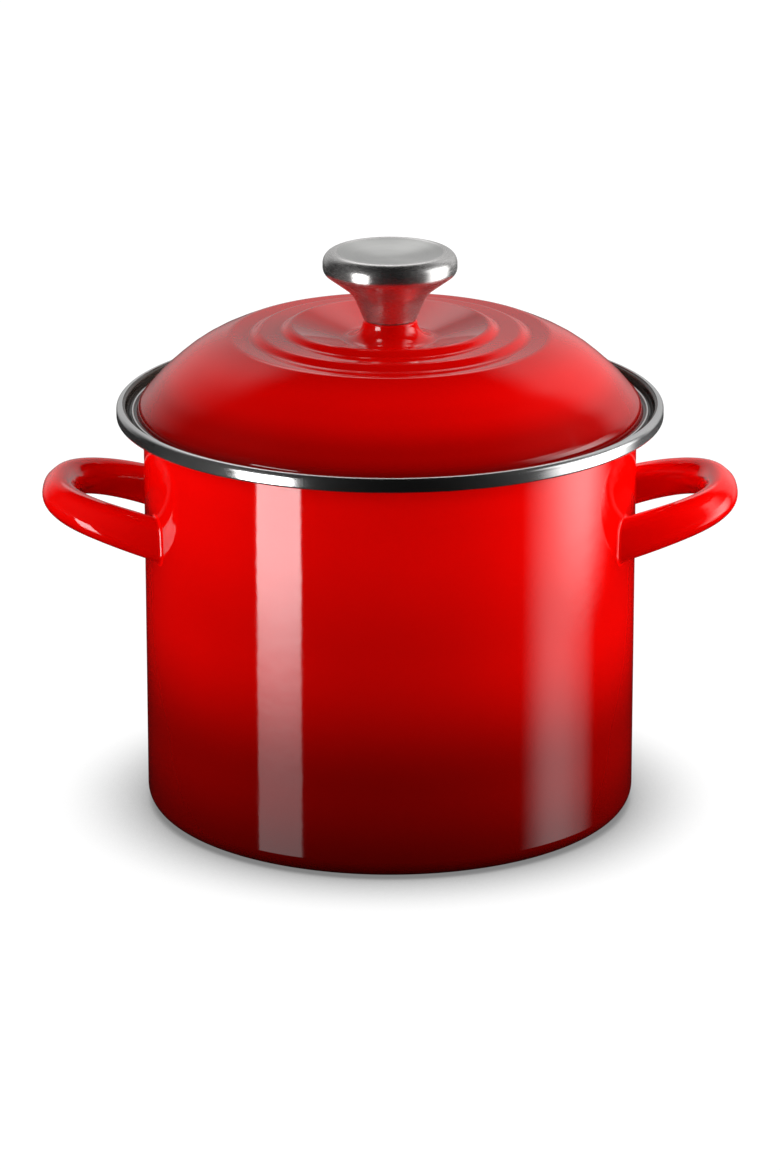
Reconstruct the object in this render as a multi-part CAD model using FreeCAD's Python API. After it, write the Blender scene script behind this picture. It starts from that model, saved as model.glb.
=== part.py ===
import FreeCAD, Part
import math
import os

# Enamelled steel stock pot with a domed lid. Millimetres, +Z up, origin at the centre of the
# base. Round parts are turned about the Z axis from an outline in the (radius, height) plane;
# the two loop handles leave the wall along -X and +X.

# Sheet and coat thicknesses
POT_STEEL = 1.0
LID_STEEL = 0.9
ENAMEL = 0.3
RIM_BAND = 0.7
LID_BAND = 0.45
# The narrow bands are turned in sectors, so that a mesh of their faces stays evenly round
BAND_SECTORS = 8

# Pot
POT_R = 113.0
BASE_FILLET = 8.4
SEAT_Z = 185.6
SEAT_BEND = 3.2
NECK_R = 121.2
NECK_FILLET = 3.0
FLANGE_TOP = 191.3
FLANGE_R = 124.8
FLANGE_END = 186.8
FLANGE_ROUNDING = (1.0, 1.9)
RIM_R = 125.3
RIM_INNER_R = 122.5
RIM_ENAMEL_GAP = 0.05
RIM_TOP = 191.8
RIM_BOTTOM = 185.3
RIM_HOOK_R = 122.9
RIM_ROUNDING = (1.2, 2.4)

# Lid
LID_GAP = 0.15
LID_FLANGE_Z = 187.5
LID_EDGE_R = 117.95
LID_WALL_R = 115.6
LID_BAND_R = 118.5
LID_BAND_INNER_R = 117.2
LID_BAND_TOP = 188.9
LID_BAND_LIP_R = 115.5
LID_BAND_ROUNDING = (0.9, 0.65, 0.6)
LID_BAND_CLEARANCE = 0.02
BOSS_TOP = 230.5
BOSS_R = 12.3
SCREW_HOLE_R = 3.3
# Top surface of the lid from the boss outwards: radius, height, corner radius
LID_TOP = [
    (SCREW_HOLE_R, BOSS_TOP, 0),
    (BOSS_R, BOSS_TOP, 1.2),
    (13.9, 219.2, 8.5),
    (45.8, 228.5, 3.5),
    (49.4, 225.4, 3.0),
    (59.9, 225.6, 4.0),
    (63.6, 222.8, 4.0),
    (73.3, 223.4, 6.0),
    (90.6, 215.9, 72.0),
    (106.3, 201.6, 56.0),
    (LID_WALL_R, 191.2, 7.5),
    (LID_WALL_R, LID_FLANGE_Z, 0.8),
    (LID_EDGE_R, LID_FLANGE_Z, 0),
]

# Knob
SEAL_THICK = 0.5
SEAL_R = 11.8
KNOB_R = 30.7
KNOB_TOP = 262.4
KNOB_CREST_R = 25.0
KNOB_WALL = 1.5
KNOB_NECK = (17.3, 242.9, 16.0)
KNOB_SHOULDER = (252.8, 4.5)
KNOB_EDGE = 5.6
KNOB_FLOOR_OVERLAP = 0.4
DISH_DEPTH = 3.3
CAP_R = 24.2
INSERT_R = 7.0
INSERT_TOP = 247.0
THREAD_R = 3.0
THREAD_HOLE_TOP = 245.5
SCREW_END_GAP = 1.5
SCREW_CHAMFER = 0.8

# Knob fastening below the lid
WASHER_R = 8.5
WASHER_THICK = 1.2
SPRING_WASHER_R = 5.4
SPRING_WASHER_THICK = 1.5
SPRING_GAP = 1.2
SPRING_GAP_SLANT = 15
HEAD_R = 6.0
HEAD_HEIGHT = 3.6
HEAD_ROUNDING = 2.4
RECESS_WIDTH = 1.4
RECESS_SPAN = 6.4
RECESS_DEPTH = 2.0

# Loop handles. In plan the middle line of a loop is half a superellipse about HANDLE_X. It rises
# as it goes out, less steeply towards the end. The section is a rounded rectangle that leans out
# at the end of the loop. Pairs of sizes are at the feet and at the end.
HANDLE_X = 93.9
HANDLE_REACH = 57.5
HANDLE_HALF_SPAN = 39.75
HANDLE_POWER = 2.7
HANDLE_FOOT_X = 104.0
HANDLE_FOOT_Z = 136.55
HANDLE_RISE = 0.33
HANDLE_DROOP = 0.00126
HANDLE_HEIGHT = (20.5, 16.1)
HANDLE_THICK = (11.0, 16.0)
HANDLE_TILT = 48.6
HANDLE_LEAN_POWER = 1.12
HANDLE_EDGE = (5.0, 6.9)
HANDLE_WALL = 1.4
HANDLE_STATIONS = 17
HANDLE_END_SHARE = 0.99
WELD_R = 1.7
WELD_POINTS = 40
WELD_ROUNDS = 24

AXIS = FreeCAD.Vector(0, 0, 1)


def point(r, z):
    return FreeCAD.Vector(r, 0, z)


def rounded_path(corners):
    """Edges through (radius, height, corner radius) points, each corner turned into an arc."""
    pts = [point(r, z) for r, z, _ in corners]
    edges = []
    last = pts[0]
    for i in range(1, len(pts) - 1):
        back = (pts[i - 1] - pts[i]).normalize()
        ahead = (pts[i + 1] - pts[i]).normalize()
        turn = math.pi - back.getAngle(ahead)
        radius = corners[i][2]
        if radius <= 0:
            edges.append(Part.makeLine(last, pts[i]))
            last = pts[i]
            continue
        run = radius * math.tan(turn / 2)
        start = pts[i] + back * run
        end = pts[i] + ahead * run
        bisector = (back + ahead).normalize()
        middle = pts[i] + bisector * (radius / math.cos(turn / 2) - radius)
        if (start - last).Length > 1e-4:
            edges.append(Part.makeLine(last, start))
        edges.append(Part.Arc(start, middle, end).toShape())
        last = end
    edges.append(Part.makeLine(last, pts[-1]))
    return edges


def offset_corners(corners, distance):
    """The same path moved to its right by distance, with every corner radius adjusted."""
    moved = []
    count = len(corners)
    for i in range(count):
        here = point(corners[i][0], corners[i][1])
        normals = []
        if i > 0:
            step = (here - point(corners[i - 1][0], corners[i - 1][1])).normalize()
            normals.append(FreeCAD.Vector(step.z, 0, -step.x))
        if i < count - 1:
            step = (point(corners[i + 1][0], corners[i + 1][1]) - here).normalize()
            normals.append(FreeCAD.Vector(step.z, 0, -step.x))
        radius = corners[i][2]
        if len(normals) == 1:
            shift = normals[0] * distance
        else:
            mean = (normals[0] + normals[1]).normalize()
            shift = mean * (distance / mean.dot(normals[0]))
            left_turn = normals[0].cross(normals[1]).y < 0
            radius = max(radius + (distance if left_turn else -distance), 0)
        spot = here + shift
        moved.append((spot.x, spot.z, radius))
    return moved


def turned(edges, sectors=1):
    """Solid of revolution about the Z axis of the face inside the edges, made in equal sectors."""
    face = Part.Face(Part.Wire(Part.__sortEdges__(edges)))
    angle = 360 / sectors
    parts = []
    for k in range(sectors):
        start = face.copy()
        start.rotate(FreeCAD.Vector(0, 0, 0), AXIS, angle * k)
        parts.append(start.revolve(FreeCAD.Vector(0, 0, 0), AXIS, angle))
    return parts[0].fuse(parts[1:]) if sectors > 1 else parts[0]


def turned_sheet(corners, near, far, sectors=1):
    """Sheet metal shell between two distances to the right of a path."""
    inner = rounded_path(offset_corners(corners, near))
    outer = rounded_path(offset_corners(corners, far))
    ends = []
    for a, b in ((inner[0].firstVertex(True), outer[0].firstVertex(True)),
                 (inner[-1].lastVertex(True), outer[-1].lastVertex(True))):
        ends.append(Part.makeLine(a.Point, b.Point))
    return turned(inner + outer + ends, sectors)


def turned_outline(corners):
    """Solid of revolution of a closed outline of (radius, height, corner radius) points."""
    edges = rounded_path(corners)
    start = edges[0].firstVertex(True).Point
    end = edges[-1].lastVertex(True).Point
    edges.append(Part.makeLine(end, start))
    return turned(edges)


def ring(inner_r, outer_r, bottom, top):
    outer = Part.makeCylinder(outer_r, top - bottom, point(0, bottom))
    return outer.cut(Part.makeCylinder(inner_r, top - bottom, point(0, bottom)))


# ---------------------------------------------------------------- pot

WALL_R = POT_R - POT_STEEL - ENAMEL
FLOOR_Z = POT_STEEL + ENAMEL
# Inside surface of the pot from the middle of the floor to the neck
POT_INSIDE = [
    (0, FLOOR_Z, 0),
    (WALL_R, FLOOR_Z, BASE_FILLET - FLOOR_Z),
    (WALL_R, SEAT_Z, SEAT_BEND),
    (NECK_R, SEAT_Z, NECK_FILLET),
]


def pot_body():
    path = POT_INSIDE + [
        (NECK_R, FLANGE_TOP, FLANGE_ROUNDING[0]),
        (FLANGE_R, FLANGE_TOP, FLANGE_ROUNDING[1]),
        (FLANGE_R, FLANGE_END, 0),
    ]
    return turned_sheet(path, ENAMEL, ENAMEL + POT_STEEL)


def pot_inner_enamel():
    path = POT_INSIDE + [
        (NECK_R, FLANGE_TOP, FLANGE_ROUNDING[0]),
        (RIM_INNER_R - RIM_ENAMEL_GAP, FLANGE_TOP, 0),
    ]
    return turned_sheet(path, 0, ENAMEL)


def pot_rim_band():
    path = [
        (RIM_HOOK_R, RIM_BOTTOM, 0),
        (RIM_R, RIM_BOTTOM, RIM_ROUNDING[0]),
        (RIM_R, RIM_TOP, RIM_ROUNDING[1]),
        (RIM_INNER_R, RIM_TOP, 0),
    ]
    return turned_sheet(path, 0, -RIM_BAND, BAND_SECTORS)


# ---------------------------------------------------------------- lid

def lid_shell():
    return turned_sheet(LID_TOP, 0, LID_STEEL)


def lid_inner_enamel():
    return turned_sheet(LID_TOP, LID_STEEL, LID_STEEL + ENAMEL)


def lid_rim_band():
    bottom = SEAT_Z + LID_GAP
    path = [
        (LID_BAND_LIP_R, bottom, 0),
        (LID_BAND_R, bottom, LID_BAND_ROUNDING[0]),
        (LID_BAND_R, LID_BAND_TOP, LID_BAND_ROUNDING[1]),
        (LID_BAND_INNER_R, LID_BAND_TOP, LID_BAND_ROUNDING[2]),
        (LID_BAND_INNER_R, LID_FLANGE_Z + LID_BAND_CLEARANCE, 0),
    ]
    return turned_sheet(path, 0, -LID_BAND, BAND_SECTORS)


# ---------------------------------------------------------------- knob

KNOB_BASE = BOSS_TOP + SEAL_THICK
# Outside of the knob from its foot to the crest of the rim
KNOB_SIDE = [
    (BOSS_R, KNOB_BASE, 0),
    KNOB_NECK,
    (KNOB_R, *KNOB_SHOULDER),
    (KNOB_R, KNOB_TOP, KNOB_EDGE),
    (CAP_R, KNOB_TOP, 0),
]


def dish(depth_offset):
    """Ball whose lower cap is the dish in the knob top, lowered by depth_offset."""
    radius = (KNOB_CREST_R ** 2 + DISH_DEPTH ** 2) / (2 * DISH_DEPTH)
    return Part.makeSphere(radius, point(0, KNOB_TOP - DISH_DEPTH - depth_offset + radius))


def knob_shell():
    shell = turned_sheet(KNOB_SIDE, 0, -KNOB_WALL)
    floor = ring(INSERT_R, BOSS_R + KNOB_FLOOR_OVERLAP, KNOB_BASE, KNOB_BASE + KNOB_WALL)
    shell = shell.fuse(floor).removeSplitter()
    return shell.cut(dish(0))


def knob_cap():
    blank = Part.makeCylinder(CAP_R, KNOB_TOP, point(0, 0))
    return blank.common(dish(KNOB_WALL)).cut(dish(0))


def knob_insert():
    post = Part.makeCylinder(INSERT_R, INSERT_TOP - KNOB_BASE, point(0, KNOB_BASE))
    return post.cut(Part.makeCylinder(THREAD_R, THREAD_HOLE_TOP - KNOB_BASE, point(0, KNOB_BASE)))


def knob_seal():
    return ring(SCREW_HOLE_R, SEAL_R, BOSS_TOP, KNOB_BASE)


UNDERSIDE = BOSS_TOP - LID_STEEL - ENAMEL


def flat_washer():
    return ring(SCREW_HOLE_R, WASHER_R, UNDERSIDE - WASHER_THICK, UNDERSIDE)


def spring_washer():
    top = UNDERSIDE - WASHER_THICK
    split = Part.makeBox(SPRING_GAP, SPRING_WASHER_R * 2, SPRING_WASHER_THICK * 3)
    split.translate(FreeCAD.Vector(-SPRING_GAP / 2, 0, top - 2 * SPRING_WASHER_THICK))
    split.rotate(point(0, top), FreeCAD.Vector(0, 1, 0), SPRING_GAP_SLANT)
    return ring(SCREW_HOLE_R, SPRING_WASHER_R, top - SPRING_WASHER_THICK, top).cut(split)


def knob_screw():
    seat = UNDERSIDE - WASHER_THICK - SPRING_WASHER_THICK
    tip = THREAD_HOLE_TOP - SCREW_END_GAP
    body = turned_outline([
        (0, seat - HEAD_HEIGHT, 0),
        (HEAD_R, seat - HEAD_HEIGHT, HEAD_ROUNDING),
        (HEAD_R, seat, 0),
        (THREAD_R, seat, 0),
        (THREAD_R, tip - SCREW_CHAMFER, 0),
        (THREAD_R - SCREW_CHAMFER, tip, 0),
        (0, tip, 0),
    ])
    for across, along in ((RECESS_WIDTH, RECESS_SPAN), (RECESS_SPAN, RECESS_WIDTH)):
        slot = Part.makeBox(across, along, RECESS_DEPTH)
        slot.translate(FreeCAD.Vector(-across / 2, -along / 2, seat - HEAD_HEIGHT))
        body = body.cut(slot)
    return body


# ---------------------------------------------------------------- handles

def middle_line(angle):
    """Point of the loop's middle line; angle runs from -pi/2 at one foot to pi/2 at the other."""
    bend = 2 / HANDLE_POWER
    x = HANDLE_X + HANDLE_REACH * math.cos(angle) ** bend
    y = HANDLE_HALF_SPAN * math.copysign(abs(math.sin(angle)) ** bend, angle)
    out = x - HANDLE_FOOT_X
    return FreeCAD.Vector(x, y, HANDLE_FOOT_Z + HANDLE_RISE * out - HANDLE_DROOP * out ** 2)


def even_angles(count):
    """Angles of points evenly spaced along the middle line, short of its two ends."""
    fine = 2000
    limit = math.pi / 2 * HANDLE_END_SHARE
    angles = [limit * (2 * i / fine - 1) for i in range(fine + 1)]
    lengths = [0.0]
    for a, b in zip(angles, angles[1:]):
        lengths.append(lengths[-1] + (middle_line(b) - middle_line(a)).Length)
    picked = []
    for i in range(count):
        wanted = lengths[-1] * i / (count - 1)
        nearest = min(range(fine + 1), key=lambda k: abs(lengths[k] - wanted))
        picked.append(angles[nearest])
    return picked


def handle_frame(angle):
    """Centre, outward and upward directions, and share of the way out to the loop's end."""
    step = 1e-3
    tangent = middle_line(angle + step) - middle_line(angle - step)
    normal = FreeCAD.Vector(tangent.y, -tangent.x, 0).normalize()
    share = math.cos(angle) ** HANDLE_LEAN_POWER
    tilt = math.radians(HANDLE_TILT) * share
    up = AXIS * math.cos(tilt) - normal * math.sin(tilt)
    out = normal * math.cos(tilt) + AXIS * math.sin(tilt)
    return middle_line(angle), out, up, share


def handle_size(share):
    """Thickness, height and edge radius of the loop, each taken from the foot to the end."""
    return [foot + (end - foot) * share for foot, end in (HANDLE_THICK, HANDLE_HEIGHT, HANDLE_EDGE)]


def outer_section(angle, inset):
    """Rounded rectangle across the loop, inset from the handle's outside."""
    centre, out, up, share = handle_frame(angle)
    thick, height, edge = handle_size(share)
    radius = edge - inset
    arcs = []
    for k, (a, b) in enumerate([(1, 1), (-1, 1), (-1, -1), (1, -1)]):
        middle = centre + out * (a * (thick / 2 - edge)) + up * (b * (height / 2 - edge))
        turns = [math.radians(90 * k + 45 * j) for j in range(3)]
        arcs.append([middle + (out * math.cos(t) + up * math.sin(t)) * radius for t in turns])
    edges = []
    for k in range(4):
        edges.append(Part.Arc(*arcs[k]).toShape())
        edges.append(Part.makeLine(arcs[k][2], arcs[(k + 1) % 4][0]))
    return Part.Wire(edges)


def plate_section(angle, inset):
    """Rectangle over the flat inner side of the loop, through the handle's wall."""
    centre, out, up, share = handle_frame(angle)
    thick, height, _ = handle_size(share)
    half = height / 2 - HANDLE_EDGE[0] - inset
    near = -thick / 2 + HANDLE_WALL * 1.5
    far = -thick / 2 - HANDLE_WALL
    corners = [(near, half), (far, half), (far, -half), (near, -half), (near, half)]
    return Part.makePolygon([centre + out * a + up * b for a, b in corners])


def handle_loft(section, inset):
    sections = [section(a, inset) for a in even_angles(HANDLE_STATIONS)]
    return Part.makeLoft(sections, True, False)


def weld_bead(handle, wall, front):
    """Bead of weld round one foot of the handle, along the line where it meets the pot."""
    seam = handle.section(wall.Faces[0])
    edges = [e for e in seam.Edges if (e.CenterOfMass.y < 0) == front]
    path = Part.Wire(Part.__sortEdges__(edges))
    points = path.discretize(Number=WELD_POINTS + 1)[:-1]
    curve = Part.BSplineCurve()
    curve.interpolate(Points=points, PeriodicFlag=True)
    rounds = []
    for i in range(WELD_ROUNDS):
        t = curve.LastParameter * i / WELD_ROUNDS
        rounds.append(Part.Wire(Part.makeCircle(WELD_R, curve.value(t), curve.tangent(t)[0])))
    bead = Part.makeLoft(rounds, True, False, True)
    return bead.cut(handle).cut(wall)


def handle_pieces():
    """Pieces of the handle on the +X side."""
    wall = Part.makeCylinder(POT_R, SEAT_Z)
    solid = handle_loft(outer_section, 0)
    tube = solid.cut(handle_loft(outer_section, HANDLE_WALL)).cut(wall)
    return {
        "handle_shell": tube.cut(handle_loft(plate_section, 0)),
        "handle_inner_plate": tube.common(handle_loft(plate_section, 0)),
        "handle_weld_front": weld_bead(solid, wall, True),
        "handle_weld_back": weld_bead(solid, wall, False),
    }


def turned_to_left(shape):
    copy = shape.copy()
    copy.rotate(FreeCAD.Vector(0, 0, 0), AXIS, 180)
    return copy


os.makedirs("parts", exist_ok=True)
pieces = {
    "pot_body": pot_body(),
    "pot_inner_enamel": pot_inner_enamel(),
    "pot_rim_band": pot_rim_band(),
    "lid_shell": lid_shell(),
    "lid_inner_enamel": lid_inner_enamel(),
    "lid_rim_band": lid_rim_band(),
    "knob_shell": knob_shell(),
    "knob_cap": knob_cap(),
    "knob_insert": knob_insert(),
    "knob_seal": knob_seal(),
    "flat_washer": flat_washer(),
    "spring_washer": spring_washer(),
    "knob_screw": knob_screw(),
}
for piece, shape in handle_pieces().items():
    pieces["right_" + piece] = shape
    pieces["left_" + piece] = turned_to_left(shape)
for name, shape in pieces.items():
    print(name, len(shape.Solids), shape.isValid(), round(shape.Volume, 1))
    shape.Solids[0].exportStep("parts/" + name + ".step")
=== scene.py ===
import math

import bmesh
import bpy
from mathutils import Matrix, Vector


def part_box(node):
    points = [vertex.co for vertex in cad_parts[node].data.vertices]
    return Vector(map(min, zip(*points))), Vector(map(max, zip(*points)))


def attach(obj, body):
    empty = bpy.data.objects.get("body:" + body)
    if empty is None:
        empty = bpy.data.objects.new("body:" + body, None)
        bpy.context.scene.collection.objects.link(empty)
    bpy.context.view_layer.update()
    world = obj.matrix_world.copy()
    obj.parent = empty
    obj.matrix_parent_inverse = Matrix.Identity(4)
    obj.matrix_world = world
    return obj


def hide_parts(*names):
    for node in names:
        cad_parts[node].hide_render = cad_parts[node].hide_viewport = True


# An enamelled stock pot with a domed lid. Lengths are in metres, in the frame of the packed
# model: +Z up from the centre of the base, handles along -X and +X. Round pieces are turned
# from an outline of (radius, height, corner radius) points; handles are swept along a loop.

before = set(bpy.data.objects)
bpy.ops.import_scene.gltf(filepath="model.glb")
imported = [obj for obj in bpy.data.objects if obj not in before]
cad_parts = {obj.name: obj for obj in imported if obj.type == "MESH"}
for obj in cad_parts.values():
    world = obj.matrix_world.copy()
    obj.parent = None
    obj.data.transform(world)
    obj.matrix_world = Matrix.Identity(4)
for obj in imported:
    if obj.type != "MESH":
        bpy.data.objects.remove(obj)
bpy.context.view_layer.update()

# ---------------------------------------------------------------- sizes, from the frame

BODY_R = 0.113
POT_STEEL = 0.0010
LID_STEEL = 0.0009
ENAMEL = 0.0003
RIM_SHEET = 0.0007
LID_BAND_SHEET = 0.00045

rim_low, rim_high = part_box("pot_rim_band")
lid_low, lid_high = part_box("lid_shell")
band_low, band_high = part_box("lid_rim_band")
knob_low, knob_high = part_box("knob_shell")
cap_low, cap_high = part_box("knob_cap")

NECK_R = 0.1212
RIM_INNER_R = 0.1225
FLANGE_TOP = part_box("pot_body")[1].z + ENAMEL
LID_GAP = 0.00015
SEAT_Z = band_low.z - LID_GAP
LID_FLANGE_Z = lid_low.z + LID_STEEL
LID_WALL_R = 0.1156
BOSS_R = 0.0123
SCREW_HOLE_R = 0.0033

SEGMENTS = 240
ARC_STEP = math.radians(5)
SHARP_ANGLE = math.radians(60)


# ---------------------------------------------------------------- mesh making

def rounded(corners):
    """Points along a path of (radius, height, corner radius), each corner turned into an arc."""
    pts = [Vector((r, z)) for r, z, _ in corners]
    out = [pts[0]]
    for i in range(1, len(pts) - 1):
        back = (pts[i - 1] - pts[i]).normalized()
        ahead = (pts[i + 1] - pts[i]).normalized()
        radius = corners[i][2]
        if radius <= 0:
            out.append(pts[i])
            continue
        turn = math.pi - back.angle(ahead)
        start = pts[i] + back * radius * math.tan(turn / 2)
        centre = pts[i] + (back + ahead).normalized() * radius / math.cos(turn / 2)
        steps = max(3, math.ceil(turn / ARC_STEP))
        sign = 1 if back.x * ahead.y - back.y * ahead.x < 0 else -1
        spoke = start - centre
        for k in range(steps + 1):
            a = sign * turn * k / steps
            c, s = math.cos(a), math.sin(a)
            out.append(centre + Vector((spoke.x * c - spoke.y * s, spoke.x * s + spoke.y * c)))
    out.append(pts[-1])
    return out


def moved(corners, distance):
    """The same path moved to its right by distance, with every corner radius adjusted."""
    out = []
    for i, (r, z, radius) in enumerate(corners):
        normals = []
        for a, b in ((i - 1, i), (i, i + 1)):
            if a >= 0 and b < len(corners):
                step = Vector((corners[b][0] - corners[a][0], corners[b][1] - corners[a][1]))
                step.normalize()
                normals.append(Vector((step.y, -step.x)))
        if len(normals) == 1:
            shift = normals[0] * distance
        else:
            mean = (normals[0] + normals[1]).normalized()
            shift = mean * (distance / mean.dot(normals[0]))
            left = normals[0].x * normals[1].y - normals[0].y * normals[1].x > 0
            radius = max(radius + (distance if left else -distance), 0)
        out.append((r + shift.x, z + shift.y, radius))
    return out


def sheet_outline(corners, near, far):
    """Closed outline between two distances to the right of a path."""
    return rounded(moved(corners, near)) + rounded(moved(corners, far))[::-1]


def finished(name, bm, body, material, stands_for):
    """Mesh object from bm, with smooth normals weighted by face, riding on its body."""
    bmesh.ops.remove_doubles(bm, verts=bm.verts, dist=1e-7)
    bmesh.ops.recalc_face_normals(bm, faces=bm.faces)
    for edge in bm.edges:
        edge.smooth = edge.calc_face_angle() < SHARP_ANGLE
    mesh = bpy.data.meshes.new(name)
    bm.to_mesh(mesh)
    bm.free()
    mesh.shade_smooth()
    obj = bpy.data.objects.new(name, mesh)
    bpy.context.scene.collection.objects.link(obj)
    weighted = obj.modifiers.new("weighted_normals", "WEIGHTED_NORMAL")
    weighted.weight = 100
    weighted.keep_sharp = True
    obj.data.materials.append(material)
    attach(obj, body)
    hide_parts(*stands_for)


def turned(outline):
    """Closed bmesh of revolution about Z of a closed outline; points on the axis become one."""
    bm = bmesh.new()
    rings = []
    for p in outline:
        if p.x < 1e-6:
            rings.append([bm.verts.new((0, 0, p.y))] * SEGMENTS)
            continue
        ring = []
        for k in range(SEGMENTS):
            a = 2 * math.pi * k / SEGMENTS
            ring.append(bm.verts.new((p.x * math.cos(a), p.x * math.sin(a), p.y)))
        rings.append(ring)
    for i, low in enumerate(rings):
        high = rings[(i + 1) % len(rings)]
        for k in range(SEGMENTS):
            loop = [low[k], low[(k + 1) % SEGMENTS], high[(k + 1) % SEGMENTS], high[k]]
            corners = list(dict.fromkeys(loop))
            if len(corners) > 2:
                bm.faces.new(corners)
    return bm


# ---------------------------------------------------------------- materials

class Nodes:
    """Short calls for making and linking the nodes of a tree."""

    def __init__(self, owner):
        owner.use_nodes = True
        self.tree = owner.node_tree

    def node(self, kind, **inputs):
        node = self.tree.nodes.new("ShaderNode" + kind)
        for socket, value in inputs.items():
            self.feed(node, socket.replace("_", " "), value)
        return node

    def feed(self, node, socket, value):
        if isinstance(value, bpy.types.NodeSocket):
            self.tree.links.new(value, node.inputs[socket])
        else:
            node.inputs[socket].default_value = value

    def math(self, operation, a, b=0.0):
        node = self.node("Math")
        node.operation = operation
        self.feed(node, 0, a)
        self.feed(node, 1, b)
        return node.outputs[0]

    def smooth(self, value, low, high, start=0.0, end=1.0):
        """Value taken from start to end in a soft step as it goes from low to high."""
        step = self.node("MapRange", Value=value, From_Min=low, From_Max=high, To_Min=start, To_Max=end)
        step.interpolation_type = "SMOOTHSTEP"
        return step.outputs[0]


class Shader(Nodes):
    """A Principled material."""

    def __init__(self, name, **settings):
        self.material = bpy.data.materials.new(name)
        super().__init__(self.material)
        self.surface = self.tree.nodes["Principled BSDF"]
        for socket, value in settings.items():
            self.surface.inputs[socket.replace("_", " ")].default_value = value

    def place(self):
        """Position in the piece's own metres, as a vector and as x, y, z and distance from Z."""
        spot = self.node("TexCoord").outputs["Object"]
        split = self.node("SeparateXYZ", Vector=spot).outputs
        square = self.math("ADD", self.math("MULTIPLY", split[0], split[0]),
                           self.math("MULTIPLY", split[1], split[1]))
        return spot, split[0], split[1], split[2], self.math("SQRT", square)

    def ramp(self, value, low, high, stops):
        """Colour stops (0 to 1, colour) spread over value from low to high."""
        spread = self.node("MapRange", Value=value, From_Min=low, From_Max=high)
        ramp = self.node("ValToRGB", Fac=spread.outputs[0])
        band = ramp.color_ramp
        band.interpolation = "EASE"
        while len(band.elements) < len(stops):
            band.elements.new(0.5)
        for element, (position, colour) in zip(band.elements, stops):
            element.position = position
            element.color = (*colour, 1.0)
        return ramp.outputs[0]

    def noise(self, vector, scale, detail=2.0):
        return self.node("TexNoise", Vector=vector, Scale=scale, Detail=detail).outputs["Fac"]

    def scaled(self, value, low, high):
        return self.node("MapRange", Value=value, To_Min=low, To_Max=high).outputs[0]

    def tinted(self, colour, factor):
        """Colour multiplied by a grey factor."""
        mix = self.node("VectorMath")
        mix.operation = "SCALE"
        self.feed(mix, 0, colour)
        self.feed(mix, "Scale", factor)
        return mix.outputs[0]

    def bump(self, height, distance, strength=1.0):
        bump = self.node("Bump", Height=height, Distance=distance, Strength=strength)
        self.tree.links.new(bump.outputs[0], self.surface.inputs["Normal"])


def red_enamel(name, measure, low, high, stops):
    """Glossy glass coat whose colour stops darken it towards one edge and carry painted shade; measure
    is 'height' or 'radius'.
    """
    s = Shader(name)
    spot, _, _, height, radius = s.place()
    value = height if measure == "height" else radius
    cloud = s.scaled(s.noise(spot, 22.0, 3.0), 0.93, 1.05)
    fleck = s.scaled(s.noise(spot, 900.0, 1.0), 0.97, 1.03)
    colour = s.ramp(value, low, high, stops)
    s.feed(s.surface, "Base Color", s.tinted(colour, s.math("MULTIPLY", cloud, fleck)))
    s.feed(s.surface, "Roughness", s.scaled(s.noise(spot, 60.0), 0.045, 0.075))
    peel = s.math("ADD", s.noise(spot, 130.0, 1.0), s.math("MULTIPLY", s.noise(spot, 420.0), 0.3))
    s.bump(peel, 0.00002)
    return s.material


def dark_enamel(name):
    """Brown-black glass coat of the inside, with fine pale flecks."""
    s = Shader(name)
    spot = s.place()[0]
    fleck = s.math("GREATER_THAN", s.noise(spot, 1500.0, 2.0), 0.66)
    cloud = s.noise(spot, 18.0, 3.0)
    colour = s.ramp(cloud, 0.3, 0.7, [(0.0, (0.040, 0.030, 0.024)), (1.0, (0.062, 0.046, 0.036))])
    light = s.math("ADD", s.math("MULTIPLY", fleck, 0.8), 1.0)
    s.feed(s.surface, "Base Color", s.tinted(colour, light))
    s.feed(s.surface, "Roughness", s.scaled(s.noise(spot, 60.0), 0.06, 0.12))
    s.bump(s.noise(spot, 160.0, 1.0), 0.00003)
    return s.material


def turned_steel(name, colour, roughness, line_depth, anisotropic):
    """Stainless steel with fine lines that run round the Z axis and stretch its highlights."""
    s = Shader(name, Metallic=1.0, Anisotropic=anisotropic, Anisotropic_Rotation=0.25)
    spot, x, y, height, radius = s.place()
    tangent = s.node("Tangent")
    tangent.direction_type = "RADIAL"
    tangent.axis = "Z"
    s.feed(s.surface, "Tangent", tangent.outputs[0])
    turn = s.math("MULTIPLY", s.math("ARCTAN2", y, x), 0.0006)
    across = s.node("CombineXYZ", X=radius, Y=turn, Z=height).outputs[0]
    lines = s.noise(across, 9000.0, 2.0)
    broad = s.noise(across, 900.0, 2.0)
    s.feed(s.surface, "Base Color", s.tinted(
        s.ramp(broad, 0.25, 0.75, [(0.0, [c * 0.94 for c in colour]), (1.0, colour)]),
        s.scaled(lines, 0.94, 1.04)))
    s.feed(s.surface, "Roughness", s.scaled(lines, roughness * 0.8, roughness * 1.2))
    s.bump(lines, line_depth)
    return s.material


def plain_rubber(name):
    s = Shader(name, Roughness=0.6)
    spot = s.place()[0]
    s.feed(s.surface, "Base Color", s.ramp(s.noise(spot, 300.0), 0.3, 0.7,
                                           [(0.0, (0.010, 0.010, 0.010)), (1.0, (0.022, 0.021, 0.020))]))
    s.bump(s.noise(spot, 800.0), 0.00003)
    return s.material


# Darker towards the base: partly the enamel's own fade, partly painted shade
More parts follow.
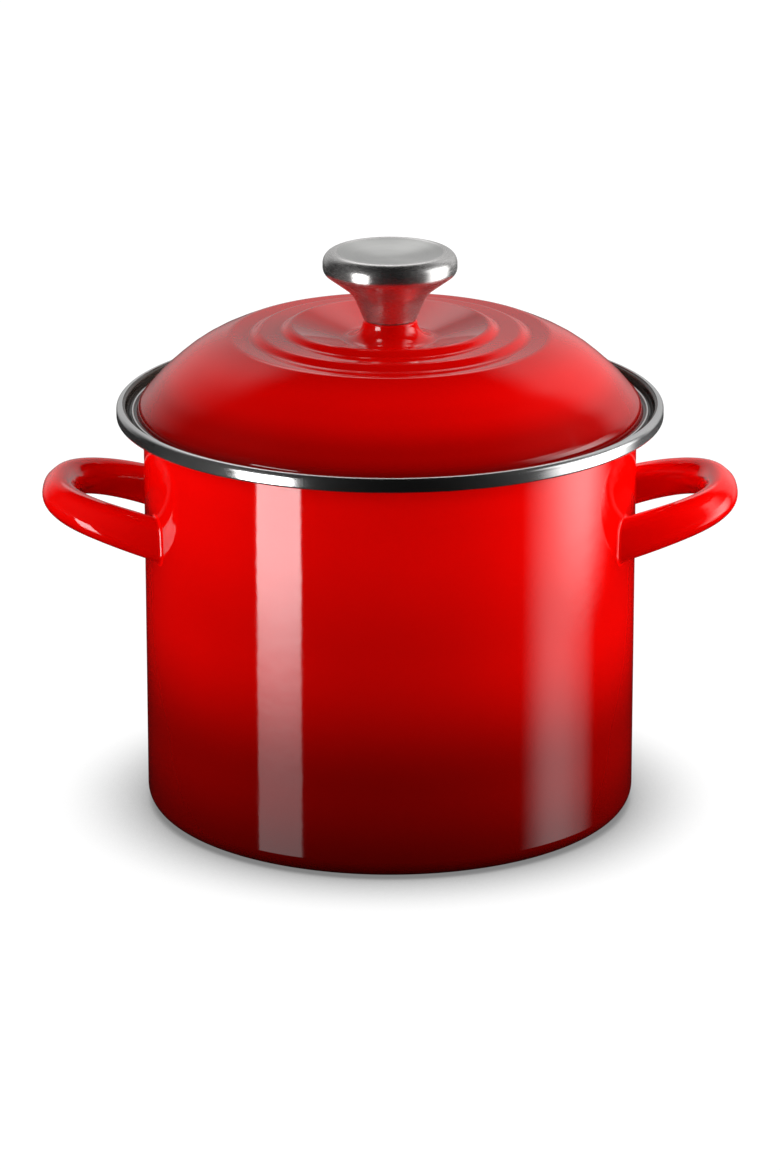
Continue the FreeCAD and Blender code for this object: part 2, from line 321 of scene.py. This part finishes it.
pot_red = red_enamel("pot_red_enamel", "height", 0.0, 0.19, [
    (0.0, (0.065, 0.0002, 0.0001)), (0.22, (0.15, 0.0003, 0.0001)), (0.55, (0.46, 0.0006, 0.0002)),
    (0.85, (0.62, 0.0007, 0.0002)), (1.0, (0.80, 0.0009, 0.0003))])
# Painted shade: crown darker than the ring further out; the fade to the edge is partly the enamel's own
lid_red = red_enamel("lid_red_enamel", "radius", 0.0, 0.118, [
    (0.0, (0.37, 0.0005, 0.0002)), (0.45, (0.34, 0.0005, 0.0002)), (0.60, (0.33, 0.0004, 0.0002)),
    (0.76, (0.42, 0.0005, 0.0002)), (0.82, (0.40, 0.0005, 0.0002)), (0.93, (0.23, 0.0003, 0.0001)),
    (1.0, (0.12, 0.0002, 0.0001))])
# Painted shade: each loop darker towards its outer end
handle_red = red_enamel("handle_red_enamel", "radius", 0.10, 0.17, [
    (0.0, (0.82, 0.0008, 0.0002)), (0.45, (0.76, 0.0007, 0.0002)), (1.0, (0.54, 0.0005, 0.0002))])
inside = dark_enamel("dark_enamel")
band_steel = turned_steel("polished_band_steel", (0.72, 0.72, 0.72), 0.20, 0.000001, 0.8)
knob_steel = turned_steel("brushed_knob_steel", (0.66, 0.65, 0.64), 0.26, 0.000002, 0.6)
dish_steel = turned_steel("satin_dish_steel", (0.50, 0.50, 0.49), 0.32, 0.000003, 0.5)
fixing_steel = turned_steel("plated_fixing_steel", (0.60, 0.60, 0.58), 0.34, 0.000004, 0.2)
seal_rubber = plain_rubber("seal_rubber")


# ---------------------------------------------------------------- pot

BASE_FILLET = 0.0084
SEAT_BEND = 0.0032
NECK_FILLET = 0.0030
FLANGE_GAP = 0.0005
FLANGE_HEM = 0.0015
FLANGE_ROUNDING = (0.0010, 0.0016)
RIM_ENAMEL_GAP = 0.00005
RIM_HOOK = 0.0024
RIM_ROUNDING = (0.0012, 0.0024)
FLOOR_Z = POT_STEEL + ENAMEL
WALL_R = BODY_R - POT_STEEL - ENAMEL
POT_INSIDE = [
    (0, FLOOR_Z, 0),
    (WALL_R, FLOOR_Z, BASE_FILLET - FLOOR_Z),
    (WALL_R, SEAT_Z, SEAT_BEND),
    (NECK_R, SEAT_Z, NECK_FILLET),
]
FLANGE_END = [
    (NECK_R, FLANGE_TOP, FLANGE_ROUNDING[0]),
    (rim_high.x - FLANGE_GAP, FLANGE_TOP, FLANGE_ROUNDING[1]),
    (rim_high.x - FLANGE_GAP, rim_low.z + FLANGE_HEM, 0),
]
finished("pot_wall", turned(sheet_outline(POT_INSIDE + FLANGE_END, ENAMEL, ENAMEL + POT_STEEL)),
         "pot", pot_red, ["pot_body"])
LINING_END = [
    (NECK_R, FLANGE_TOP, FLANGE_ROUNDING[0]),
    (RIM_INNER_R - RIM_ENAMEL_GAP, FLANGE_TOP, 0),
]
finished("pot_lining", turned(sheet_outline(POT_INSIDE + LINING_END, 0, ENAMEL)),
         "pot", inside, ["pot_inner_enamel"])
RIM_PATH = [
    (rim_high.x - RIM_HOOK, rim_low.z, 0),
    (rim_high.x, rim_low.z, RIM_ROUNDING[0]),
    (rim_high.x, rim_high.z, RIM_ROUNDING[1]),
    (RIM_INNER_R, rim_high.z, 0),
]
finished("pot_rim", turned(sheet_outline(RIM_PATH, 0, -RIM_SHEET)),
         "pot", band_steel, ["pot_rim_band"])

# ---------------------------------------------------------------- lid

LID_BAND_LIP = 0.0030
LID_BAND_TOP = 0.0013
LID_BAND_GAP = 0.00002
LID_BAND_ROUNDING = (0.0009, 0.00065, 0.0006)
LID_TOP = [
    (SCREW_HOLE_R, lid_high.z, 0),
    (BOSS_R, lid_high.z, 0.0012),
    (0.0139, 0.2192, 0.0085),
    (0.0458, 0.2285, 0.0035),
    (0.0494, 0.2254, 0.0030),
    (0.0599, 0.2256, 0.0040),
    (0.0636, 0.2228, 0.0040),
    (0.0733, 0.2234, 0.0060),
    (0.0906, 0.2159, 0.0720),
    (0.1063, 0.2016, 0.0560),
    (LID_WALL_R, 0.1912, 0.0075),
    (LID_WALL_R, LID_FLANGE_Z, 0.0008),
    (lid_high.x, LID_FLANGE_Z, 0),
]
finished("lid_dome", turned(sheet_outline(LID_TOP, 0, LID_STEEL)),
         "lid", lid_red, ["lid_shell"])
finished("lid_lining", turned(sheet_outline(LID_TOP, LID_STEEL, LID_STEEL + ENAMEL)),
         "lid", inside, ["lid_inner_enamel"])
LID_BAND = [
    (band_high.x - LID_BAND_LIP, band_low.z, 0),
    (band_high.x, band_low.z, LID_BAND_ROUNDING[0]),
    (band_high.x, band_high.z, LID_BAND_ROUNDING[1]),
    (band_high.x - LID_BAND_TOP, band_high.z, LID_BAND_ROUNDING[2]),
    (band_high.x - LID_BAND_TOP, LID_FLANGE_Z + LID_BAND_GAP, 0),
]
finished("lid_rim", turned(sheet_outline(LID_BAND, 0, -LID_BAND_SHEET)),
         "lid", band_steel, ["lid_rim_band"])

# ---------------------------------------------------------------- knob

KNOB_WALL = 0.0015
KNOB_CREST_R = 0.0250
CREST_GAP = 0.0001
DISH_DEPTH = 0.0033
CAP_STEPS = 24
DISH_R = (KNOB_CREST_R ** 2 + DISH_DEPTH ** 2) / (2 * DISH_DEPTH)
INSERT_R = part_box("knob_insert")[1].x


def dish_height(radius):
    """Height of the dished top at a distance from the axis."""
    return knob_high.z - DISH_DEPTH + DISH_R - math.sqrt(DISH_R ** 2 - radius ** 2)


def knob_outline():
    side = [
        (BOSS_R, knob_low.z, 0),
        (0.0173, 0.2429, 0.0160),
        (knob_high.x, 0.2528, 0.0045),
        (knob_high.x, knob_high.z, 0.0056),
        (KNOB_CREST_R - CREST_GAP, knob_high.z, 0.0006),
        (cap_high.x, dish_height(cap_high.x), 0),
    ]
    wall = side[:4] + [(cap_high.x, knob_high.z, 0)]
    inner = [p for p in rounded(moved(wall, -KNOB_WALL))
             if p.x <= knob_high.x and p.y > knob_low.z + KNOB_WALL]
    floor = [Vector((INSERT_R, knob_low.z + KNOB_WALL)), Vector((INSERT_R, knob_low.z))]
    return rounded(side) + inner[::-1] + floor


def cap_outline():
    radii = [cap_high.x * i / CAP_STEPS for i in range(CAP_STEPS + 1)]
    top = [Vector((r, dish_height(r))) for r in radii]
    low = [Vector((p.x, p.y - KNOB_WALL)) for p in top]
    return top + low[::-1]


finished("knob_body", turned(knob_outline()), "lid", knob_steel, ["knob_shell"])
finished("knob_top", turned(cap_outline()), "lid", dish_steel, ["knob_cap"])
for node, material in (("knob_insert", fixing_steel), ("knob_screw", fixing_steel),
                       ("flat_washer", fixing_steel), ("spring_washer", fixing_steel),
                       ("knob_seal", seal_rubber)):
    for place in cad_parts[node].material_slots:
        place.material = material

# ---------------------------------------------------------------- handles

# In plan the middle line of a loop is half a superellipse about LOOP_X. It rises away from the
# wall and flattens. Pairs of sizes are at the feet and at the end of the loop.
LOOP_X = 0.0939
LOOP_REACH = 0.0575
LOOP_HALF_SPAN = 0.03975
LOOP_POWER = 2.7
FOOT_X = 0.104
FOOT_Z = 0.13655
LOOP_RISE = 0.33
LOOP_DROOP = 1.26
THICK = (0.0110, 0.0160)
HEIGHT = (0.0205, 0.0161)
EDGE = (0.0050, 0.0069)
LEAN = math.radians(48.6)
LEAN_POWER = 1.12
STATIONS = 96
CORNER_STEPS = 10
FLAT_STEPS = 4
SINK = 0.0003
WELD = 0.0016
WELD_STEPS = 8
LOOP_END_SHARE = 0.998
LOOP_STEP = 1e-4
FOOT_SEARCH_START = 0.6
FOOT_SEARCH_STEPS = 30


def loop_middle(angle):
    """Point of the right handle's middle line; angle runs from -pi/2 to pi/2 at the feet."""
    bend = 2 / LOOP_POWER
    x = LOOP_X + LOOP_REACH * math.cos(angle) ** bend
    y = LOOP_HALF_SPAN * math.copysign(abs(math.sin(angle)) ** bend, angle)
    out = x - FOOT_X
    return Vector((x, y, FOOT_Z + LOOP_RISE * out - LOOP_DROOP * out ** 2))


# Angles from the outermost point of the loop to a foot, and the distance along the loop at each
FINE = 1500
ANGLES = [math.pi / 2 * LOOP_END_SHARE * i / FINE for i in range(FINE + 1)]
LENGTHS = [0.0]
for nearer, further in zip(ANGLES, ANGLES[1:]):
    LENGTHS.append(LENGTHS[-1] + (loop_middle(further) - loop_middle(nearer)).length)


def distance_along(angle):
    i = min(int(abs(angle) / ANGLES[1]), FINE - 1)
    share = abs(angle) / ANGLES[1] - i
    length = LENGTHS[i] + (LENGTHS[i + 1] - LENGTHS[i]) * share
    return math.copysign(length, angle)


def angle_at(distance):
    low, high = 0, FINE
    while high - low > 1:
        middle = (low + high) // 2
        if LENGTHS[middle] > abs(distance):
            high = middle
        else:
            low = middle
    share = (abs(distance) - LENGTHS[low]) / (LENGTHS[high] - LENGTHS[low])
    angle = ANGLES[low] + (ANGLES[high] - ANGLES[low]) * min(share, 1.0)
    return math.copysign(angle, distance)


def section(share):
    """Points (out, up) round the loop's section, from the inner side over the top and back."""
    thick, height, edge = [foot + (end - foot) * share for foot, end in (THICK, HEIGHT, EDGE)]
    corners = []
    for a, b, start in ((-1, 1, 180), (1, 1, 90), (1, -1, 0), (-1, -1, -90)):
        corner = []
        for k in range(CORNER_STEPS + 1):
            turn = math.radians(start - 90 * k / CORNER_STEPS)
            corner.append((a * (thick / 2 - edge) + edge * math.cos(turn),
                           b * (height / 2 - edge) + edge * math.sin(turn)))
        corners.append(corner)
    points = []
    for corner, following in zip(corners, corners[1:] + corners[:1]):
        points += corner
        for k in range(1, FLAT_STEPS):
            t = k / FLAT_STEPS
            points.append(tuple(p + (q - p) * t for p, q in zip(corner[-1], following[0])))
    return points


def on_loop(angle, k):
    """Place of point k of the section, carried to an angle along the loop."""
    ahead = loop_middle(angle + LOOP_STEP) - loop_middle(angle - LOOP_STEP)
    normal = Vector((ahead.y, -ahead.x, 0)).normalized()
    share = math.cos(angle) ** LEAN_POWER
    lean = LEAN * share
    up = Vector((0, 0, math.cos(lean))) - normal * math.sin(lean)
    out = normal * math.cos(lean) + Vector((0, 0, math.sin(lean)))
    n, z = section(share)[k]
    return loop_middle(angle) + out * n + up * z


def foot_angle(side, k, radius):
    """Angle at which point k of the section is at a distance from the pot's axis."""
    low, high = FOOT_SEARCH_START, ANGLES[-1]
    for _ in range(FOOT_SEARCH_STEPS):
        middle = (low + high) / 2
        if on_loop(side * middle, k).xy.length > radius:
            low = middle
        else:
            high = middle
    return side * low


def handle_loop(turn):
    """Closed bmesh of the section swept from foot to foot; turn is 1 (right) or -1 (left)."""
    count = len(section(1.0))
    bm = bmesh.new()
    lines = []
    for k in range(count):
        ends = [distance_along(foot_angle(s, k, BODY_R - SINK)) for s in (-1, 1)]
        line = []
        for i in range(STATIONS + 1):
            p = on_loop(angle_at(ends[0] + (ends[1] - ends[0]) * i / STATIONS), k)
            line.append(bm.verts.new((p.x * turn, p.y * turn, p.z)))
        lines.append(line)
    for k in range(count):
        near, far = lines[k], lines[(k + 1) % count]
        for i in range(STATIONS):
            bm.faces.new((near[i], near[i + 1], far[i + 1], far[i]))
    for i in (0, STATIONS):
        rim = [line[i] for line in lines]
        hub = bm.verts.new(sum((v.co for v in rim), Vector()) / count)
        for k in range(count):
            bm.faces.new((hub, rim[k], rim[(k + 1) % count]))
    return bm


def weld_fillet(side, turn):
    """Closed ring with a hollow face round one foot, from the loop's side on to the wall."""
    count = len(section(0.0))
    foot = []
    for k in range(count):
        p = on_loop(foot_angle(side, k, BODY_R), k)
        foot.append((math.atan2(p.y, p.x) * BODY_R, p.z))
    middle = (sum(p[0] for p in foot) / count, sum(p[1] for p in foot) / count)
    bm = bmesh.new()
    rings = []
    for k in range(count):
        before, after = foot[k - 1], foot[(k + 1) % count]
        normal = Vector((after[1] - before[1], before[0] - after[0])).normalized()
        if normal.dot(Vector((foot[k][0] - middle[0], foot[k][1] - middle[1]))) < 0:
            normal = -normal
        along, height = foot[k][0] + normal.x * WELD, foot[k][1] + normal.y * WELD
        root = on_loop(foot_angle(side, k, BODY_R), k)
        top = on_loop(foot_angle(side, k, BODY_R + WELD), k)
        toe = Vector((BODY_R * math.cos(along / BODY_R), BODY_R * math.sin(along / BODY_R), height))
        ring = []
        for i in range(WELD_STEPS + 1):
            t = i / WELD_STEPS
            ring.append(top * (1 - t) ** 2 + root * 2 * t * (1 - t) + toe * t ** 2)
        ring.append(Vector((toe.x, toe.y, 0)) * (1 - SINK / BODY_R) + Vector((0, 0, toe.z)))
        ring.append(on_loop(foot_angle(side, k, BODY_R - SINK), k))
        rings.append([bm.verts.new((p.x * turn, p.y * turn, p.z)) for p in ring])
    for k in range(count):
        near, far = rings[k], rings[(k + 1) % count]
        for i in range(len(near)):
            j = (i + 1) % len(near)
            bm.faces.new((near[i], near[j], far[j], far[i]))
    return bm


for hand, turn in (("right", 1), ("left", -1)):
    finished(hand + "_handle_loop", handle_loop(turn), "pot", handle_red,
             [hand + "_handle_shell", hand + "_handle_inner_plate"])
    for place, side in (("front", -1), ("back", 1)):
        finished(hand + "_weld_" + place, weld_fillet(side, turn), "pot", handle_red,
                 [hand + "_handle_weld_" + place])

# ---------------------------------------------------------------- camera, floor and light

AIM = Vector((0, 0, 0.1028))
VIEW_DISTANCE = 2.5478
VIEW_TILT = math.radians(18.0)
camera = bpy.data.objects.new("camera", bpy.data.cameras.new("camera"))
camera.data.sensor_width = 36
camera.data.lens = 169.3
camera.location = AIM + Vector((0, -math.cos(VIEW_TILT), math.sin(VIEW_TILT))) * VIEW_DISTANCE
camera.rotation_euler = (math.pi / 2 - VIEW_TILT, 0, 0)
bpy.context.scene.collection.objects.link(camera)
bpy.context.scene.camera = camera


def flat_piece(name, width, height):
    """Rectangle centred on the origin, facing -Y."""
    mesh = bpy.data.meshes.new(name)
    w, h = width / 2, height / 2
    mesh.from_pydata([(-w, 0, -h), (w, 0, -h), (w, 0, h), (-w, 0, h)], [], [(0, 1, 2, 3)])
    obj = bpy.data.objects.new(name, mesh)
    bpy.context.scene.collection.objects.link(obj)
    return obj


def towards(azimuth, elevation=0.0):
    """Direction from the pot: azimuth 0 towards the camera, 90 towards +X; degrees."""
    a, e = math.radians(azimuth), math.radians(elevation)
    return Vector((math.sin(a) * math.cos(e), -math.cos(a) * math.cos(e), math.sin(e)))


# Distance of the cards from the pot's axis
CARD_DISTANCE = 1.6


def card(name, azimuth, width, bottom, top, strength, soft, fade):
    """Upright glowing card that only shows in glossy surfaces and adds to what is behind it. It
    faces the pot's axis and is soft over a share of its width on each side. Its glow goes from
    fade[2] to full between heights fade[0] and fade[1], on a curve of power fade[3]."""
    obj = flat_piece(name, width, top - bottom)
    obj.location = towards(azimuth) * CARD_DISTANCE + Vector((0, 0, (top + bottom) / 2))
    obj.rotation_euler = (0, 0, math.radians(azimuth + 180))
    material = bpy.data.materials.new(name)
    look = Nodes(material)
    look.tree.nodes.clear()
    spot = look.node("TexCoord")
    across = look.node("SeparateXYZ", Vector=spot.outputs["Generated"]).outputs[0]
    height = look.node("SeparateXYZ", Vector=spot.outputs["Object"]).outputs[2]
    edge = look.math("SUBTRACT", 0.5, look.math("ABSOLUTE", look.math("SUBTRACT", across, 0.5)))
    middle = (top + bottom) / 2
    low, high, least, power = fade
    rise = look.math("POWER", look.smooth(height, low - middle, high - middle), power)
    level = look.math("ADD", look.math("MULTIPLY", rise, 1 - least), least)
    share = look.math("MULTIPLY", look.smooth(edge, 0.0, soft), level)
    glow = look.node("Emission", Strength=look.math("MULTIPLY", share, strength))
    both = look.node("AddShader")
    look.feed(both, 0, glow.outputs[0])
    look.feed(both, 1, look.node("BsdfTransparent").outputs[0])
    out = look.node("OutputMaterial", Surface=both.outputs[0])
    out.is_active_output = True
    obj.data.materials.append(material)
    obj.visible_camera = False
    obj.visible_diffuse = False
    obj.visible_shadow = False
    obj.visible_transmission = False


card("strip_card", -51.4, 0.64, -0.64, 0.56, 10.5, 0.03, (-0.56, -0.32, 0.17, 2.1))
card("side_card", 79, 1.04, -0.70, 1.40, 1.75, 0.50, (-0.70, -0.65, 0.9, 1.0))
card("far_side_card", 94, 0.92, -0.70, 1.40, 0.96, 0.50, (-0.70, -0.65, 0.9, 1.0))
card("high_side_card", 98, 1.56, -0.44, 0.90, 3.3, 0.50, (-0.42, -0.29, 0.0, 1.0))

FLOOR_SIZE = 8
FLOOR_PAINT = 0.12
SHADOW_REACH = 0.062
SHADOW_SKY = 0.3
SHADOW_LEVEL = 0.21
OPEN_LEVEL = 1.03
floor = flat_piece("floor", FLOOR_SIZE, FLOOR_SIZE)
floor.rotation_euler = (-math.pi / 2, 0, 0)
# The camera sees a white floor with a soft shadow round the base; other rays meet grey paint
floor_look = Shader("floor_paint", Roughness=0.9)
seen = floor_look.node("LightPath").outputs["Is Camera Ray"]
unseen = floor_look.math("SUBTRACT", 1.0, seen)
open_sky = floor_look.node("AmbientOcclusion", Distance=SHADOW_REACH).outputs["AO"]
paint = floor_look.tinted((FLOOR_PAINT, FLOOR_PAINT, FLOOR_PAINT), unseen)
glow = floor_look.smooth(open_sky, SHADOW_SKY, 1.0, SHADOW_LEVEL, OPEN_LEVEL)
floor_look.feed(floor_look.surface, "Base Color", paint)
floor_look.feed(floor_look.surface, "Emission Color", (1, 1, 1, 1))
floor_look.feed(floor_look.surface, "Emission Strength", floor_look.math("MULTIPLY", seen, glow))
floor.data.materials.append(floor_look.material)
floor.visible_glossy = False

scene = bpy.context.scene
scene.view_settings.view_transform = "Standard"
world = bpy.data.worlds.new("studio")
scene.world = world
sky = Nodes(world)
way_in = sky.node("TexCoord").outputs["Generated"]
way = sky.node("SeparateXYZ", Vector=way_in).outputs


def facing(azimuth, elevation):
    """Cosine of the angle between the way in and a direction."""
    near = sky.node("VectorMath", Vector=way_in)
    near.operation = "DOT_PRODUCT"
    sky.feed(near, 1, towards(azimuth, elevation))
    return near.outputs["Value"]


# Azimuth and strength of the broad lights that light the paint
SIDE_LIGHTS = ((-86, 4.1), (-60, 1.7), (90, 5.3), (116, 6.2))
LIGHT_EDGE = 0.45
LIGHT_CORE = 0.95
BACKDROP_GLOW = 0.52
SPOT_GLOW = 1.2
FAINT_GLOW = 0.004

daylight = 0.0
for azimuth, light in SIDE_LIGHTS:
    lobe = sky.smooth(facing(azimuth, 0), LIGHT_EDGE, LIGHT_CORE, 0.0, light)
    daylight = sky.math("ADD", daylight, lobe)

# What glossy surfaces mirror: a grey backdrop behind the pot and a bright spot high on it.
# The angle aside is 0 straight behind the pot and positive towards +X, in radians
aside = sky.math("ARCTAN2", way[0], way[1])
width = sky.math("MULTIPLY", sky.smooth(aside, 0.73, 0.98, 1.0, 0.0), sky.smooth(aside, -1.05, -0.38))
band = sky.math("MULTIPLY", sky.smooth(way[2], -0.31, 0.06), sky.smooth(way[2], 0.64, 0.80, 1.0, 0.0))
backdrop = sky.math("MULTIPLY", sky.math("MULTIPLY", band, width), BACKDROP_GLOW)
bright = sky.smooth(facing(182, 38), 0.965, 0.998, 0.0, SPOT_GLOW)
studio = sky.math("ADD", sky.math("ADD", backdrop, bright), FAINT_GLOW)

path = sky.node("LightPath").outputs
gloss = path["Is Glossy Ray"]
strength = sky.math("ADD", sky.math("MULTIPLY", studio, gloss),
                    sky.math("MULTIPLY", daylight, sky.math("SUBTRACT", 1.0, gloss)))
strength = sky.math("MAXIMUM", strength, path["Is Camera Ray"])
sky.feed(sky.tree.nodes["Background"], "Color", (1, 1, 1, 1))
sky.feed(sky.tree.nodes["Background"], "Strength", strength)
